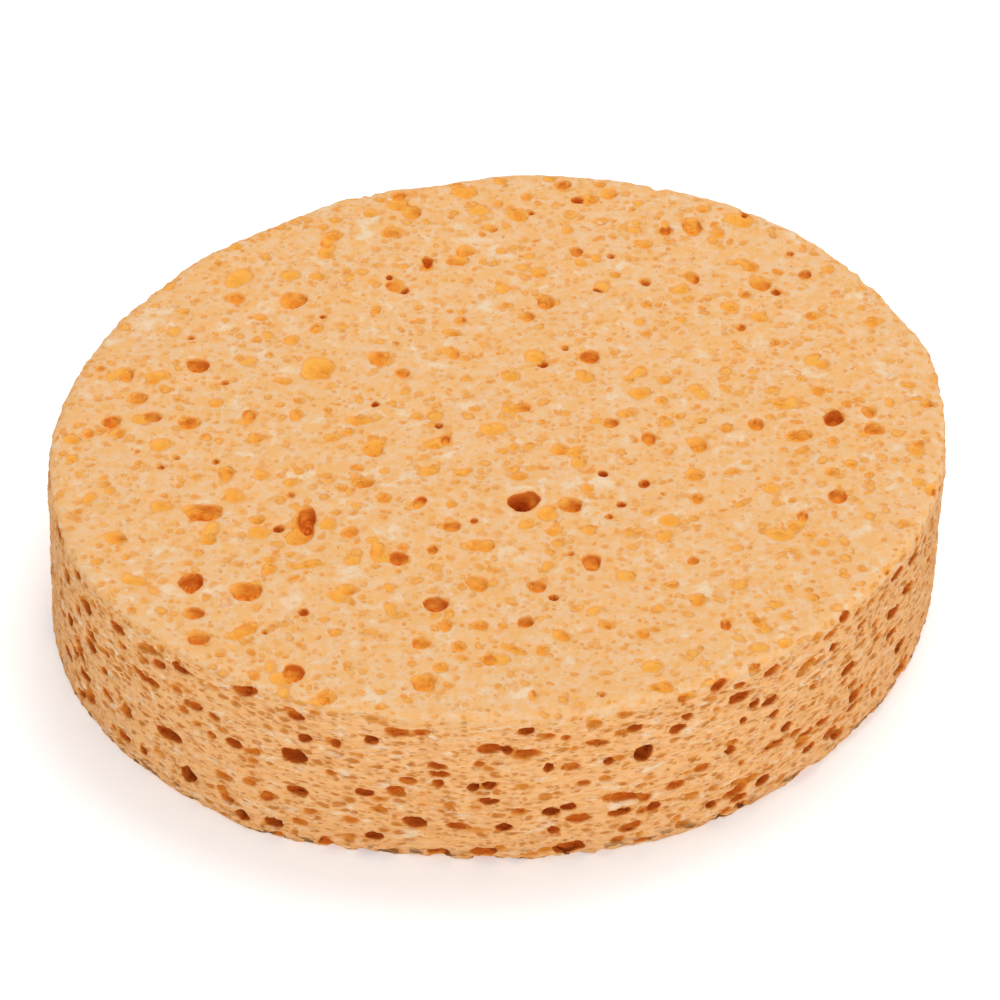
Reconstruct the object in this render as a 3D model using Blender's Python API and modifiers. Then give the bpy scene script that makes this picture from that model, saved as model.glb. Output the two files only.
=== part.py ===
"""Round bath sponge, a slightly oval disc cut from a sheet of cellulose foam.

Lengths are in metres and +Z is up. The disc lies on its underside, and the middle of its
outline is the origin. Directions are turned from +X towards +Y.
"""

import math
import random

import bmesh
import bpy
from mathutils import Matrix, Vector

MM = 0.001

# The disc
LONG_DIAMETER = 126.5 * MM
SHORT_DIAMETER = 118.5 * MM
LONG_DIRECTION = math.radians(45.0)
LOBE_HEIGHT = 0.42 * MM
LOBE_DIRECTION = math.radians(78.5)
THICKNESS = 25.0 * MM
LEAN = 0.74 * MM
LEAN_MIDDLE = 0.5
RIM_ROUNDING = 1.0 * MM
RIM_SEGMENTS = 2
OUTLINE_POINTS = 72

# A pit is a cell of the foam that the knife laid open. Its kind gives its depth as a share of the
# narrower side of its mouth, and how far its middle lies below the surface as a share of the cell.
KINDS = {
    "dish": (0.28, -0.5),
    "cup": (0.55, -0.25),
    "deep": (1.15, 0.3),
}
# How many bands a cell's wall has from pole to pole, and how many sides round its mouth
SHALLOW_BANDS = 4
DEEP_BANDS = 3
BIG_PIT = 3.0 * MM
BIG_PIT_SIDES = 8
SMALL_PIT_SIDES = 6

# The pits that stand out in the upper face: where they lie as shares of the mean radius, how wide
# their mouths are along X and along Y in millimetres, their kind and their turn in degrees.
FACE_PITS = (
    (-0.09, 0.92, 4.3, 3.7, "dish", 0),
    (-0.245, 0.905, 2.1, 2.5, "cup", 0),
    (-0.21, 0.835, 2.4, 3.1, "cup", 0),
    (-0.39, 0.81, 1.8, 1.8, "cup", 0),
    (-0.41, 0.718, 1.5, 2.1, "deep", 0),
    (-0.55, 0.665, 1.5, 2.4, "cup", 0),
    (-0.61, 0.57, 6.1, 3.7, "dish", 50),
    (-0.43, 0.585, 2.4, 1.8, "cup", 0),
    (-0.175, 0.62, 1.8, 2.4, "cup", 0),
    (-0.48, 0.49, 4.0, 3.7, "cup", 0),
    (-0.73, 0.45, 1.8, 1.8, "cup", 0),
    (-0.29, 0.452, 1.5, 2.1, "deep", 0),
    (-0.095, 0.415, 1.5, 1.8, "deep", 0),
    (-0.535, 0.36, 1.8, 2.4, "cup", 0),
    (-0.75, 0.37, 2.1, 3.1, "dish", 0),
    (-0.28, 0.265, 3.1, 3.7, "cup", 0),
    (-0.225, 0.21, 2.1, 2.4, "cup", 0),
    (-0.11, 0.28, 1.8, 3.1, "cup", 0),
    (-0.42, 0.22, 4.9, 5.5, "dish", 0),
    (-0.69, 0.24, 3.1, 2.8, "deep", 0),
    (-0.85, 0.2, 2.0, 3.4, "cup", 0),
    (-0.79, 0.185, 2.0, 3.0, "cup", 0),
    (-0.82, 0.115, 2.8, 2.8, "cup", 0),
    (-0.78, 0.05, 2.4, 2.1, "deep", 0),
    (-0.565, 0.055, 1.8, 3.1, "deep", 0),
    (-0.46, 0.05, 1.8, 2.4, "cup", 0),
    (-0.32, 0.035, 4.3, 2.1, "cup", 0),
    (-0.02, 0.0, 4.3, 2.8, "dish", 0),
    (0.145, 0.95, 2.4, 2.4, "cup", 0),
    (0.18, 0.89, 1.8, 1.4, "deep", 0),
    (0.255, 0.915, 2.4, 2.4, "cup", 0),
    (0.45, 0.78, 2.6, 4.6, "cup", 0),
    (0.385, 0.77, 1.8, 2.8, "deep", 0),
    (0.315, 0.775, 2.4, 1.8, "cup", 0),
    (0.335, 0.715, 2.8, 2.2, "cup", 0),
    (0.51, 0.75, 1.8, 2.6, "cup", 0),
    (0.57, 0.83, 3.7, 4.3, "dish", 0),
    (0.155, 0.77, 1.8, 2.4, "cup", 0),
    (0.175, 0.68, 1.8, 2.4, "deep", 0),
    (0.705, 0.593, 1.8, 2.1, "deep", 0),
    (0.448, 0.573, 1.2, 2.1, "deep", 0),
    (0.235, 0.545, 2.4, 3.7, "dish", 0),
    (0.635, 0.52, 1.2, 1.8, "deep", 0),
    (0.105, 0.49, 2.4, 3.1, "deep", 0),
    (0.335, 0.475, 1.8, 1.8, "cup", 0),
    (0.55, 0.385, 1.2, 1.8, "deep", 0),
    (0.625, 0.33, 1.5, 1.5, "deep", 0),
    (0.2, 0.275, 3.1, 3.1, "cup", 0),
    (0.075, 0.27, 3.1, 3.1, "dish", 0),
    (0.02, 0.195, 3.1, 2.4, "dish", 0),
    (0.73, 0.245, 2.1, 2.4, "cup", 0),
    (0.57, 0.22, 2.1, 1.5, "cup", 0),
    (0.51, 0.15, 3.1, 1.3, "cup", -50),
    (0.31, 0.13, 2.8, 2.8, "dish", 0),
    (0.715, 0.145, 1.8, 2.1, "deep", 0),
    (0.92, 0.17, 2.4, 1.8, "cup", 0),
    (0.05, 0.08, 1.8, 2.1, "deep", 0),
    (0.245, 0.025, 2.1, 1.8, "deep", 0),
    (0.645, 0.09, 3.7, 2.4, "dish", 0),
    (0.745, 0.045, 2.8, 3.7, "deep", 0),
    (0.825, 0.065, 1.8, 2.1, "deep", 0),
    (0.57, 0.02, 2.4, 3.1, "cup", 0),
    (-0.855, -0.015, 1.5, 2.1, "deep", 0),
    (-0.76, -0.06, 3.1, 3.1, "dish", 0),
    (-0.61, -0.165, 2.1, 3.7, "cup", 0),
    (-0.55, -0.03, 2.1, 2.4, "cup", 0),
    (-0.285, -0.075, 2.8, 2.4, "cup", 0),
    (-0.38, -0.18, 1.8, 1.3, "cup", 0),
    (-0.09, -0.155, 2.1, 1.5, "cup", 0),
    (-0.43, -0.335, 3.0, 8.2, "deep", 0),
    (-0.655, -0.3, 5.5, 3.7, "cup", 0),
    (-0.53, -0.37, 3.4, 3.1, "dish", 0),
    (-0.64, -0.395, 2.4, 1.8, "cup", 0),
    (-0.835, -0.385, 1.5, 2.1, "deep", 0),
    (-0.8, -0.53, 3.1, 1.8, "cup", 0),
    (-0.67, -0.535, 3.1, 3.7, "deep", 0),
    (-0.55, -0.575, 4.3, 3.7, "cup", 0),
    (-0.42, -0.48, 3.7, 1.5, "cup", 20),
    (-0.26, -0.455, 3.1, 1.8, "cup", 0),
    (-0.26, -0.25, 2.1, 2.1, "cup", 0),
    (-0.185, -0.27, 3.7, 1.5, "cup", 55),
    (-0.11, -0.345, 2.8, 2.4, "cup", 0),
    (-0.035, -0.41, 3.1, 2.4, "cup", 0),
    (-0.15, -0.425, 1.5, 2.4, "deep", 0),
    (-0.14, -0.61, 3.2, 2.9, "deep", 0),
    (-0.12, -0.69, 1.8, 2.4, "cup", 0),
    (-0.235, -0.645, 1.5, 2.1, "cup", 0),
    (-0.555, -0.705, 5.5, 2.4, "cup", 40),
    (-0.05, -0.54, 3.1, 3.1, "cup", 0),
    (-0.44, -0.84, 2.8, 3.7, "deep", 0),
    (-0.165, -0.875, 3.4, 3.7, "cup", 0),
    (0.33, -0.03, 1.8, 2.8, "deep", 0),
    (0.44, -0.055, 2.4, 3.1, "cup", 0),
    (0.13, -0.075, 2.4, 2.4, "cup", 0),
    (0.66, -0.02, 4.0, 2.6, "cup", 0),
    (0.93, -0.045, 1.8, 1.5, "deep", 0),
    (0.315, -0.193, 1.4, 1.7, "deep", 0),
    (0.05, -0.26, 3.7, 4.3, "deep", 0),
    (0.055, -0.34, 2.4, 1.8, "cup", 0),
    (0.04, -0.17, 2.4, 1.8, "cup", 0),
    (0.43, -0.25, 1.8, 2.4, "cup", 0),
    (0.66, -0.3, 1.5, 3.7, "deep", 0),
    (0.74, -0.24, 2.8, 3.4, "cup", 0),
    (0.73, -0.155, 1.8, 1.8, "cup", 0),
    (0.195, -0.47, 2.4, 3.4, "deep", 0),
    (0.415, -0.46, 1.7, 1.7, "deep", 0),
    (0.61, -0.37, 4.3, 3.1, "dish", 0),
    (0.075, -0.55, 2.8, 2.8, "cup", 0),
    (0.42, -0.6, 2.4, 3.1, "cup", 0),
    (0.59, -0.61, 2.4, 1.5, "cup", 0),
    (0.05, -0.67, 2.1, 2.1, "deep", 0),
    (0.565, -0.69, 6.1, 1.3, "cup", -48),
    (0.3, -0.71, 2.1, 2.4, "cup", 0),
    (0.03, -0.765, 4.9, 1.5, "cup", -35),
    (0.33, -0.885, 2.8, 1.5, "deep", -25),
)

# The pits that stand out in the edge: their direction in degrees, their height as a share of the
# thickness, their length along the edge and their height in millimetres, and their kind.
EDGE_PITS = (
    (204.3, 0.51, 2.1, 1.8, "deep"),
    (209.0, 0.28, 3.2, 1.4, "cup"),
    (209.8, 0.78, 2.8, 1.9, "deep"),
    (211.0, 0.54, 2.6, 1.2, "cup"),
    (217.0, 0.85, 3.6, 1.1, "cup"),
    (226.5, 0.39, 4.7, 1.7, "deep"),
    (228.5, 0.885, 3.2, 1.1, "cup"),
    (229.9, 0.2, 2.7, 2.5, "deep"),
    (233.5, 0.55, 2.1, 1.1, "cup"),
    (236.8, 0.56, 2.6, 1.3, "deep"),
    (238.2, 0.12, 1.6, 1.8, "deep"),
    (239.0, 0.34, 2.4, 1.1, "cup"),
    (242.5, 0.12, 3.0, 1.3, "cup"),
    (244.8, 0.6, 3.6, 2.1, "deep"),
    (246.0, 0.74, 2.1, 1.3, "cup"),
    (247.0, 0.25, 2.8, 1.0, "cup"),
    (250.0, 0.74, 1.3, 1.1, "cup"),
    (252.0, 0.235, 2.7, 1.1, "cup"),
    (253.6, 0.44, 3.0, 1.0, "cup"),
    (254.3, 0.81, 2.0, 1.4, "deep"),
    (254.8, 0.14, 2.8, 1.1, "deep"),
    (257.2, 0.48, 2.3, 1.1, "deep"),
    (259.8, 0.26, 3.0, 1.6, "deep"),
    (262.5, 0.55, 1.6, 1.4, "cup"),
    (267.8, 0.55, 3.2, 1.3, "deep"),
    (268.6, 0.44, 1.7, 1.1, "deep"),
    (270.9, 0.785, 1.5, 1.3, "deep"),
    (270.8, 0.26, 2.6, 1.2, "cup"),
    (273.0, 0.91, 2.2, 1.2, "deep"),
    (276.0, 0.65, 1.4, 1.4, "deep"),
    (277.5, 0.35, 4.7, 1.4, "deep"),
    (279.0, 0.1, 4.3, 1.5, "deep"),
    (283.5, 0.64, 1.3, 1.1, "cup"),
    (285.2, 0.285, 3.2, 1.1, "deep"),
    (286.8, 0.83, 2.1, 1.2, "cup"),
    (288.0, 0.65, 2.5, 2.4, "deep"),
    (292.5, 0.765, 2.4, 1.1, "cup"),
    (300.2, 0.48, 1.7, 1.1, "cup"),
    (303.2, 0.735, 1.6, 1.1, "deep"),
    (306.2, 0.7, 2.5, 1.2, "deep"),
    (307.0, 0.6, 1.7, 1.1, "cup"),
    (309.3, 0.455, 2.4, 1.2, "deep"),
    (305.8, 0.17, 2.6, 1.4, "deep"),
    (312.5, 0.31, 3.4, 1.1, "cup"),
    (317.3, 0.805, 1.7, 1.2, "deep"),
    (332.0, 0.9, 3.2, 1.2, "cup"),
    (332.0, 0.63, 3.2, 1.4, "cup"),
    (335.0, 0.31, 3.2, 1.7, "deep"),
    (337.0, 0.86, 4.3, 1.6, "cup"),
)

# Bites torn out of the lower rim, as the edge pits are given, with their reach under the disc.
RIM_BITES = (
    (231.0, 2.4, 1.6, 1.6),
    (250.0, 3.0, 1.5, 1.4),
    (298.8, 2.8, 1.7, 2.0),
    (313.8, 4.6, 2.8, 2.2),
)
BITE_BANDS = 4

# Pits strewn over the rest: how many, the stretch of edge that has no chosen ones, their narrowest
# and widest mouths, how strongly small ones prevail, and the least foam between two.
FACE_EXTRA_PITS = 14
EDGE_EXTRA_PITS = 82
EDGE_EXTRA_FROM = math.radians(-22.0)
EDGE_EXTRA_TO = math.radians(202.0)
UNDERSIDE_PITS = 92
STREWN_LEAST = 1.6 * MM
STREWN_MOST = 4.0 * MM
STREWN_BIAS = 1.6
STREWN_GAP = 0.7 * MM
EDGE_PIT_FLATNESS = 0.5
RIM_MARGIN = 1.2 * MM
TRIES = 4000
SEED = 11

# Bare spot in the middle of the underside, where the sponge bears flat on what it lies on
BARE_SPOT_RADIUS = 7.0 * MM

FOAM_COLOUR = (0.84, 0.47, 0.19, 1.0)
FOAM_ROUGHNESS = 0.95


def mean_radius():
    return (LONG_DIAMETER + SHORT_DIAMETER) / 4


def outline_radius(direction):
    """Distance from the middle to the edge: an oval with three faint lobes."""
    swell = (LONG_DIAMETER - SHORT_DIAMETER) / 4
    oval = mean_radius() + swell * math.cos(2 * (direction - LONG_DIRECTION))
    return oval + LOBE_HEIGHT * math.cos(3 * (direction - LOBE_DIRECTION))


def lean_at(height):
    """How far the edge leans towards +X at a height above the underside."""
    return LEAN * (height / THICKNESS - LEAN_MIDDLE)


def new_collection(name, parent):
    collection = bpy.data.collections.new(name)
    parent.children.link(collection)
    return collection


def foam_material():
    material = bpy.data.materials.new("natural_foam")
    material.use_nodes = True
    shader = material.node_tree.nodes["Principled BSDF"]
    shader.inputs["Base Color"].default_value = FOAM_COLOUR
    shader.inputs["Roughness"].default_value = FOAM_ROUGHNESS
    shader.inputs["Metallic"].default_value = 0.0
    return material


def mesh_object(name, bm, collection):
    mesh = bpy.data.meshes.new(name)
    bm.to_mesh(mesh)
    bm.free()
    obj = bpy.data.objects.new(name, mesh)
    collection.objects.link(obj)
    return obj


def make_disc(collection):
    """The plain disc: a cylinder drawn out to the oval outline, with rounded rims."""
    bm = bmesh.new()
    bmesh.ops.create_cone(
        bm, cap_ends=True, segments=OUTLINE_POINTS, radius1=1.0, radius2=1.0, depth=THICKNESS,
        matrix=Matrix.Translation((0.0, 0.0, THICKNESS / 2)),
    )
    for vert in bm.verts:
        direction = math.atan2(vert.co.y, vert.co.x)
        radius = outline_radius(direction)
        vert.co.x = radius * math.cos(direction) + lean_at(vert.co.z)
        vert.co.y = radius * math.sin(direction)
    disc = mesh_object("sponge", bm, collection)
    rounding = disc.modifiers.new("rounded_rims", "BEVEL")
    rounding.width = RIM_ROUNDING
    rounding.segments = RIM_SEGMENTS
    rounding.limit_method = "ANGLE"
    rounding.angle_limit = math.radians(45.0)
    return disc


def add_cell(bm, place, turn, size, kind):
    """One cell as a stretched ball that opens along its own +Z at place."""
    depth_share, sunk = KINDS[kind]
    depth = depth_share * min(size)
    reach = depth / (1 + sunk)
    spread = 0.5 / math.sqrt(1 - sunk * sunk)
    stretch = Matrix.Diagonal((size[0] * spread, size[1] * spread, reach, 1.0))
    frame = Matrix.Translation(place) @ turn
    sides = BIG_PIT_SIDES if max(size) > BIG_PIT else SMALL_PIT_SIDES
    bands = DEEP_BANDS if kind == "deep" else SHALLOW_BANDS
    bmesh.ops.create_uvsphere(
        bm, u_segments=sides, v_segments=bands, radius=1.0,
        matrix=frame @ Matrix.Translation((0.0, 0.0, -sunk * reach)) @ stretch,
    )


def face_spot(x, y, height):
    return Vector((x + lean_at(height), y, height))


def edge_spot(direction, height):
    radius = outline_radius(direction)
    return Vector((
        radius * math.cos(direction) + lean_at(height),
        radius * math.sin(direction),
        height,
    ))


def edge_turn(direction):
    """Turns a cell's +Z outwards from the edge and its +X along the edge."""
    return Matrix.Rotation(direction + math.pi / 2, 4, "Z") @ Matrix.Rotation(math.pi / 2, 4, "X")


def clear_of(spot, reach, taken):
    return all((spot - other).length > reach + far + STREWN_GAP for other, far in taken)


def strewn_size(draw):
    """Mouth sizes, with many small cells and few large ones."""
    width = STREWN_LEAST + (STREWN_MOST - STREWN_LEAST) * draw.random() ** STREWN_BIAS
    return width, width * draw.uniform(0.7, 1.0)


def strewn_kind(draw):
    return draw.choice(("dish", "cup", "cup", "deep"))


def strew_face(bm, draw, count, height, flip, taken):
    """Strews pits over one flat face, clear of the rim and of the pits in taken."""
    made = 0
    for _ in range(TRIES):
        if made == count:
            break
        direction = draw.uniform(0.0, 2 * math.pi)
        size = strewn_size(draw)
        reach = max(size) / 2
        room = outline_radius(direction) - RIM_ROUNDING - RIM_MARGIN - reach
        distance = room * math.sqrt(draw.random())
        spot = face_spot(distance * math.cos(direction), distance * math.sin(direction), height)
        turn = flip @ Matrix.Rotation(draw.uniform(0.0, math.pi), 4, "Z")
        kind = strewn_kind(draw)
        if clear_of(spot, reach, taken):
            add_cell(bm, spot, turn, size, kind)
            taken.append((spot, reach))
            made += 1


def upper_face_pits(draw, collection):
    bm = bmesh.new()
    taken = []
    for x, y, width, length, kind, turn in FACE_PITS:
        spot = face_spot(x * mean_radius(), y * mean_radius(), THICKNESS)
        size = (width * MM, length * MM)
        add_cell(bm, spot, Matrix.Rotation(math.radians(turn), 4, "Z"), size, kind)
        taken.append((spot, max(size) / 2))
    strew_face(bm, draw, FACE_EXTRA_PITS, THICKNESS, Matrix.Identity(4), taken)
    return mesh_object("upper_face_pits", bm, collection)


def underside_pits(draw, collection):
    bm = bmesh.new()
    taken = [(face_spot(0.0, 0.0, 0.0), BARE_SPOT_RADIUS)]
    flip = Matrix.Rotation(math.pi, 4, "X")
    strew_face(bm, draw, UNDERSIDE_PITS, 0.0, flip, taken)
    return mesh_object("underside_pits", bm, collection)


def edge_pits(draw, collection):
    """Pits around the edge, flattened in the sheet's layers, and the bites in the lower rim."""
    bm = bmesh.new()
    taken = []
    for degrees, share, length, height, kind in EDGE_PITS:
        direction = math.radians(degrees)
        spot = edge_spot(direction, share * THICKNESS)
        add_cell(bm, spot, edge_turn(direction), (length * MM, height * MM), kind)
        taken.append((spot, length * MM / 2))
    for degrees, length, height, reach in RIM_BITES:
        direction = math.radians(degrees)
        spot = edge_spot(direction, 0.0)
        bite = Matrix.Diagonal((length / 2 * MM, height / 2 * MM, reach * MM, 1.0))
        bmesh.ops.create_uvsphere(
            bm, u_segments=BIG_PIT_SIDES, v_segments=BITE_BANDS, radius=1.0,
            matrix=Matrix.Translation(spot) @ edge_turn(direction) @ bite,
        )
        taken.append((spot, length * MM / 2))
    made = 0
    for _ in range(TRIES):
        if made == EDGE_EXTRA_PITS:
            break
        direction = draw.uniform(EDGE_EXTRA_FROM, EDGE_EXTRA_TO)
        length = strewn_size(draw)[0]
        size = (length, length * EDGE_PIT_FLATNESS)
        edge_room = RIM_ROUNDING + RIM_MARGIN
        spot = edge_spot(direction, draw.uniform(edge_room, THICKNESS - edge_room))
        kind = strewn_kind(draw)
        if clear_of(spot, length / 2, taken):
            add_cell(bm, spot, edge_turn(direction), size, kind)
            taken.append((spot, length / 2))
            made += 1
    return mesh_object("edge_pits", bm, collection)


def cut(body, cutter):
    cutter.hide_render = True
    cutter.display_type = "WIRE"
    cutting = body.modifiers.new(cutter.name, "BOOLEAN")
    cutting.operation = "DIFFERENCE"
    cutting.solver = "EXACT"
    cutting.use_self = True
    cutting.object = cutter


def build():
    for obj in list(bpy.data.objects):
        bpy.data.objects.remove(obj, do_unlink=True)
    scene_collection = bpy.context.scene.collection
    parts = new_collection("bath_sponge", scene_collection)
    cutters = new_collection("bath_sponge_cutters", scene_collection)
    draw = random.Random(SEED)
    sponge = make_disc(parts)
    sponge.data.materials.append(foam_material())
    for cutter in (
        upper_face_pits(draw, cutters),
        underside_pits(draw, cutters),
        edge_pits(draw, cutters),
    ):
        cut(sponge, cutter)


build()
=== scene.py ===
"""Looks of the round bath sponge: foam cut open on two faces and round its edge.

Lengths are in metres and +Z is up. The disc takes its size from the frame. Its pits are cells of
the foam that the knife laid open, subtracted from the disc by Geometry Nodes.
"""

import math

import bmesh
import bpy
from mathutils import Matrix, Vector, noise


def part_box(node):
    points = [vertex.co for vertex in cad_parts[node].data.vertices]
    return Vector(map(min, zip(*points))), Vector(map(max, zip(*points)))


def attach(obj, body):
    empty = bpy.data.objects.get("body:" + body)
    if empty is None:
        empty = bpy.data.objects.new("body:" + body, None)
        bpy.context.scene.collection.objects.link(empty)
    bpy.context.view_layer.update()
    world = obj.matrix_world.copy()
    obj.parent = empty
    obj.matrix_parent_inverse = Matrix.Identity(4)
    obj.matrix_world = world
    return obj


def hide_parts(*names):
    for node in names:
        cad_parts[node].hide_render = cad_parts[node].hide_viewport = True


MM = 0.001

# The disc, as shares of its mean radius where no unit is given
SPREAD = 1.0021
OVAL = 0.0327
OVAL_DIRECTION = math.radians(45.0)
LOBES = 0.0069
LOBE_DIRECTION = math.radians(78.5)
LEAN = 0.74 * MM
RIM_ROUNDING = 0.7 * MM
RIM_SEGMENTS = 2
RIM_ANGLE = math.radians(45.0)
OUTLINE_POINTS = 240
SKIN_GRID = 1.15 * MM

# Where the hand-cut outline swells or falls in: the direction and half-width in degrees, and how far
# the upper and the lower rim move outwards in millimetres
SWELLS = (
    (148.0, 18.0, 0.45, 0.3),
    (100.0, 7.0, -0.7, -0.2),
    (113.0, 5.0, 0.7, 0.0),
    (57.0, 8.0, 0.3, 0.0),
    (44.0, 5.0, 0.3, 0.0),
    (18.0, 9.0, 0.7, 0.3),
    (215.0, 14.0, 0.1, 0.5),
    (259.0, 6.0, 0.0, -0.7),
    (299.0, 16.0, 0.2, 1.0),
    (239.0, 8.0, 0.0, 0.9),
    (286.0, 5.0, 0.0, 0.4),
    (342.0, 7.0, 0.0, 0.3),
)

# A cell's kind gives its depth as a share of the narrower side of its mouth, how far its middle lies
# below the surface as a share of the cell and, in the face, its turn about X in degrees.
FACE_KINDS = {
    "dish": (0.2, -0.5, -9.0),
    "cup": (0.42, -0.25, -18.0),
    "bowl": (0.62, 0.1, -18.0),
    "deep": (1.1, 0.3, 12.0),
}
EDGE_KINDS = {
    "dish": (0.5, -0.3),
    "cup": (1.0, 0.0),
    "deep": (1.6, 0.3),
}

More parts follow.
